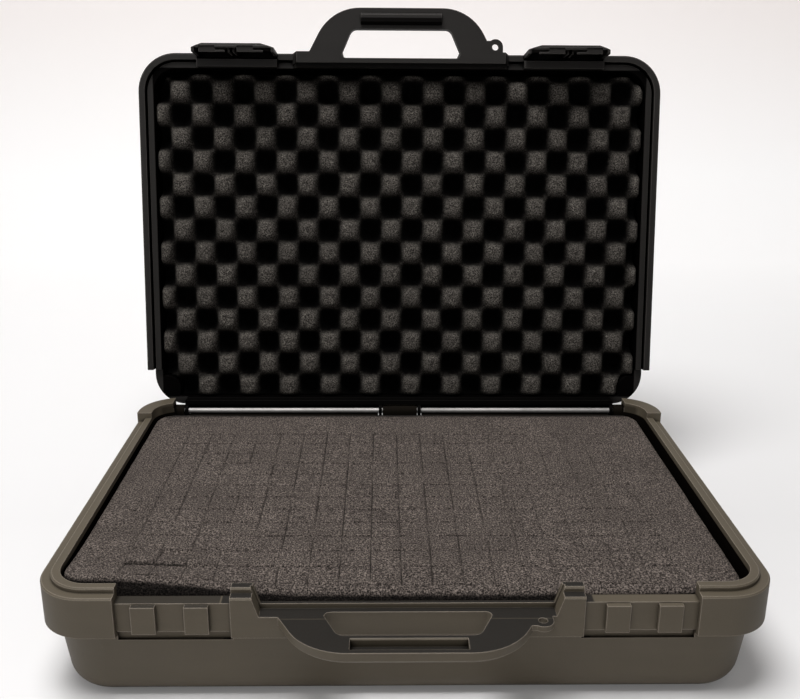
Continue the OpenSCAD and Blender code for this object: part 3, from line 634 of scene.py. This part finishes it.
def makeFloorPad():
    bm = bmesh.new()
    made = bmesh.ops.create_cube(bm, size=1)["verts"]
    halfWide, halfDeep = cavityHalfWide - floorPad["gap"], cavityHalfDeep - floorPad["gap"]
    middle = caseSizes["floor"] + caseSizes["foamGap"] + floorPad["thick"] / 2
    bmesh.ops.scale(bm, vec=(2 * halfWide, 2 * halfDeep, floorPad["thick"]), verts=made)
    bmesh.ops.translate(bm, vec=(0, 0, middle), verts=made)
    upright = [e for e in bm.edges if isUpright(e)]
    bmesh.ops.bevel(bm, geom=upright, offset=floorPad["radius"], segments=8, profile=0.5,
                    affect="EDGES", material=-1)
    level = [e for e in bm.edges if not isUpright(e)]
    bmesh.ops.bevel(bm, geom=level, offset=floorPad["round"], segments=2, profile=0.5,
                    affect="EDGES", material=-1)
    lit = bm.verts.layers.float.new("lit")
    for vert in bm.verts:
        vert[lit] = 1.0
    return newPiece("floorPadFoam", "base", blockFoam, bm)


pad = makeFloorPad()
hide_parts("foam_base_pad")
print("floor pad made")


# the camera's place in metres and its angles in degrees
cameraSetup = {
    "place": (-0.01705, -0.72051, 0.43361), "pitch": 17.954, "yaw": 1.088, "roll": 0.396,
    "lens": 43.213, "sensor": 36.0, "nearest": 0.01,
}


def placeCamera():
    pitch, yaw, roll = (math.radians(cameraSetup[key]) for key in ("pitch", "yaw", "roll"))
    forward = Vector((math.sin(yaw) * math.cos(pitch), math.cos(yaw) * math.cos(pitch), -math.sin(pitch)))
    level = Vector((math.cos(yaw), -math.sin(yaw), 0))
    upright = level.cross(forward)
    right = level * math.cos(roll) + upright * math.sin(roll)
    up = upright * math.cos(roll) - level * math.sin(roll)
    turn = Matrix((right, up, -forward)).transposed().to_4x4()
    data = bpy.data.cameras.new("photoCamera")
    data.lens = cameraSetup["lens"]
    data.sensor_width = cameraSetup["sensor"]
    data.sensor_fit = "HORIZONTAL"
    data.clip_start = cameraSetup["nearest"]
    camera = bpy.data.objects.new("photoCamera", data)
    camera.matrix_world = Matrix.Translation(cameraSetup["place"]) @ turn
    bpy.context.scene.collection.objects.link(camera)
    bpy.context.scene.camera = camera


# paper that runs back along the floor and bends up into a wall, in metres
sweepPaper = {
    "halfWide": 5.0, "front": -4.0, "wallAt": 1.9, "bend": 0.7, "wallTop": 3.2,
    "colour": (0.66, 0.65, 0.65), "highColour": (0.80, 0.71, 0.67), "highFrom": (0.12, 0.55),
    "glow": (0.06, 0.50), "glowFrom": (0.1, 1.2),
}
sky = {"colour": (1.0, 0.985, 0.975), "strength": 0.25}
lamps = {
    "topLight": {"place": (-0.3, -0.35, 1.9), "size": 1.0, "power": 42},
    "frontLight": {"place": (-0.5, -2.0, 0.9), "size": 1.2, "power": 7},
    "sideLight": {"place": (-1.8, -0.6, 1.0), "size": 0.9, "power": 4},
}
lampTarget = Vector((0, 0, 0.1))


def glowingPaper():
    # the glow makes the backdrop bright for the camera and in reflections, and lights nothing else
    finish = Finish("sweepPaper")
    paper = finish.node("ShaderNodeBsdfDiffuse", {}, {"Color": opaque(sweepPaper["colour"])})
    seen = (finish.node("ShaderNodeLightPath", out="Is Camera Ray")
            + finish.node("ShaderNodeLightPath", out="Is Glossy Ray"))
    strength = finish.remap(finish.axis(finish.place, "Y"), *sweepPaper["glowFrom"], *sweepPaper["glow"])
    high = finish.remap(finish.axis(finish.place, "Z"), *sweepPaper["highFrom"])
    tint = finish.blend(high, opaque(sky["colour"]), opaque(sweepPaper["highColour"]))
    glow = finish.node("ShaderNodeEmission", {}, {"Color": tint, "Strength": strength})
    nothing = finish.node("ShaderNodeBsdfTransparent", {}, {"Color": opaque((0, 0, 0))})
    shown = finish.node("ShaderNodeMixShader", {}, {0: seen, 1: nothing, 2: glow})
    return finish.show(finish.node("ShaderNodeAddShader", {}, {0: paper, 1: shown}))


def makeSweep():
    bm = bmesh.new()
    wallAt = sweepPaper["wallAt"]
    points = ((sweepPaper["front"], 0.0), (wallAt, 0.0), (wallAt, sweepPaper["wallTop"]))
    verts = [bm.verts.new((-sweepPaper["halfWide"], y, z)) for y, z in points]
    for pair in zip(verts, verts[1:]):
        bm.edges.new(pair)
    bmesh.ops.bevel(bm, geom=[verts[1]], offset=sweepPaper["bend"], segments=16, profile=0.5,
                    affect="VERTICES", material=-1)
    farSide = extrudeRim(bm, list(bm.edges))[1]
    bmesh.ops.translate(bm, vec=(2 * sweepPaper["halfWide"], 0, 0), verts=farSide)
    bmesh.ops.recalc_face_normals(bm, faces=bm.faces)
    sweep = newObject("sweep", glowingPaper(), bm)


def addLamp(name, place, size, power):
    data = bpy.data.lights.new(name, "AREA")
    data.shape = "DISK"
    data.size = size
    data.energy = power
    lamp = bpy.data.objects.new(name, data)
    aim = lampTarget - Vector(place)
    lamp.matrix_world = Matrix.Translation(place) @ aim.to_track_quat("-Z", "Y").to_matrix().to_4x4()
    bpy.context.scene.collection.objects.link(lamp)


def lightScene():
    world = bpy.data.worlds.new("studioWorld")
    bpy.context.scene.world = world
    world.use_nodes = True
    background = world.node_tree.nodes["Background"]
    background.inputs["Color"].default_value = opaque(sky["colour"])
    background.inputs["Strength"].default_value = sky["strength"]
    for name, lamp in lamps.items():
        addLamp(name, **lamp)


placeCamera()
makeSweep()
lightScene()
bpy.context.scene.view_settings.view_transform = "Standard"
print("camera and light set")
